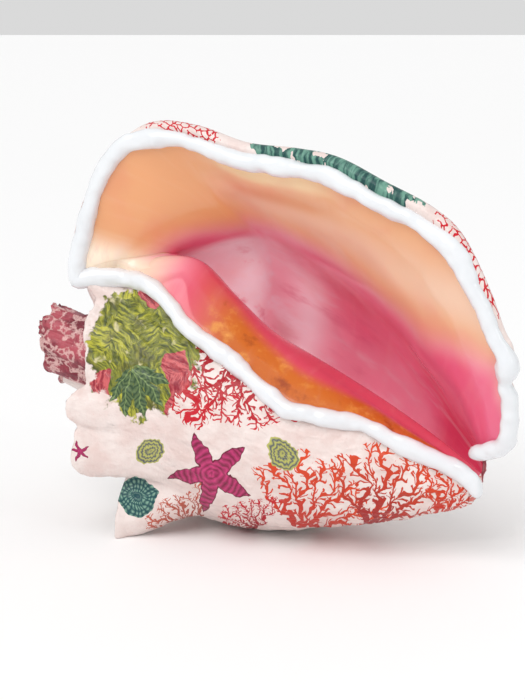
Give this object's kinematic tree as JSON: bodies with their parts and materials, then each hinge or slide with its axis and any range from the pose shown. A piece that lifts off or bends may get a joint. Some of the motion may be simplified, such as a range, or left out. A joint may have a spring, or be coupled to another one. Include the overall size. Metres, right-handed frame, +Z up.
{
  "type": "conch shell ornament",
  "caption": "Large conch shell lying on its belly and two spines, mouth to the front under a flared lip, printed paper outside, glossy natural inside and a white bead round the mouth.",
  "frame": {"origin": "middle of the bounding box's base, on the surface the shell lies on", "axes": "+X along the shell from the spire to the siphon end, +Y to the back, away from the mouth, +Z up"},
  "size_m": [0.2156, 0.176, 0.1885],
  "materials": {
    "shell": "varnished paper outside, polished natural shell in the mouth",
    "rim_bead": "glossy"
  },
  "bodies": {
    "root": {"shell": "shell", "rim_bead": "rim_bead"}
  },
  "joints": []
}
